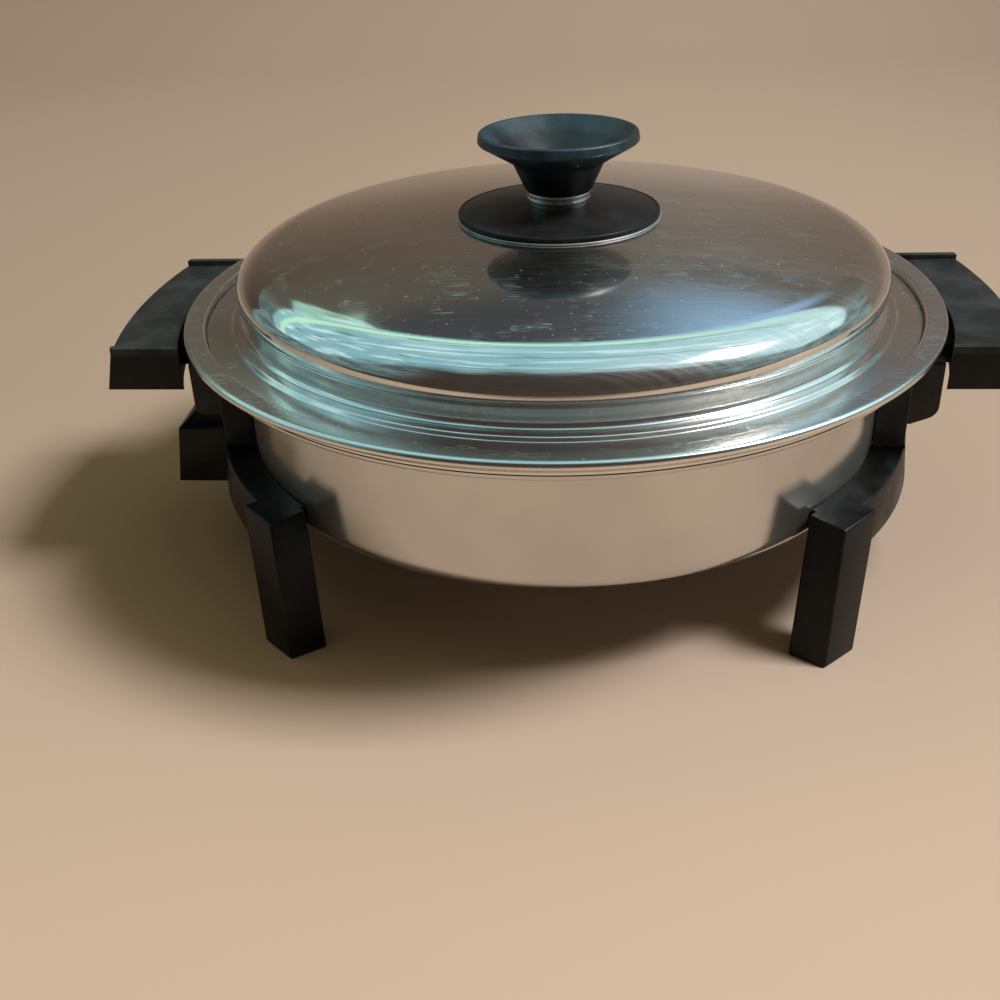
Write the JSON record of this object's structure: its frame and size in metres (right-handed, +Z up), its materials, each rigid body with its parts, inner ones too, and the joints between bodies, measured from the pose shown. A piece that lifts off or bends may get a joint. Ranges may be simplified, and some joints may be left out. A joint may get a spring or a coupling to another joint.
{
  "type": "electric skillet",
  "caption": "Round double-walled electric skillet on moulded legs, with side grips, a lift-off domed lid and a socket for a plug-in heat control.",
  "frame": {"origin": "on the table surface under the middle of the round pan", "axes": "+X points from the pan's middle to the plain right-hand grip, -X to the grip over the terminal socket, +Z points up and -Y is the front"},
  "size_m": [0.3928, 0.33, 0.1819],
  "materials": {
    "pan_steel": "polished",
    "jacket_steel": "fine satin polish",
    "lid_steel": "mirror polish with fine wear scratches",
    "spreader_aluminium": "rolled",
    "element_sheath": "oxidised sheath",
    "sleeve_steel": "satin",
    "pin_steel": "bright",
    "insulator_ceramic": "glazed ceramic",
    "plate_steel": "plain",
    "shroud_black": "satin moulded",
    "frame_black": "satin moulded",
    "grip_black": "satin moulded",
    "knob_black": "satin moulded",
    "guard_black": "satin moulded",
    "bright_trim": "bright",
    "fastener_steel": "zinc plated"
  },
  "bodies": {
    "skillet": {"cooking_pan": "pan_steel", "outer_jacket": "jacket_steel", "heat_spreader": "spreader_aluminium", "heating_element": "element_sheath", "element_clips": "fastener_steel", "clip_screws": "fastener_steel", "thermostat_sleeve": "sleeve_steel", "terminal_pins": "pin_steel", "pin_insulators": "insulator_ceramic", "terminal_plate": "plate_steel", "terminal_shroud": "shroud_black", "shroud_screws": "fastener_steel", "leg_frame_left": "frame_black", "leg_frame_right": "frame_black", "grip_left": "grip_black", "grip_right": "grip_black", "bracket_left": "plate_steel", "bracket_right": "plate_steel", "bracket_washers": "fastener_steel", "bracket_nuts": "fastener_steel", "grip_screws": "fastener_steel", "base_stud": "fastener_steel", "base_spacer": "fastener_steel", "base_nut": "fastener_steel"},
    "lid": {"lid": "lid_steel", "knob_guard": "guard_black", "knob_guard_ring": "bright_trim", "knob_ferrule": "bright_trim", "knob": "knob_black", "knob_screw": "fastener_steel", "knob_washer": "fastener_steel"}
  },
  "joints": [
    {"name": "lid_lift", "type": "slide", "parent": "skillet", "child": "lid", "axis": [0, 0, 1], "range_m": [0, 0.12]}
  ]
}
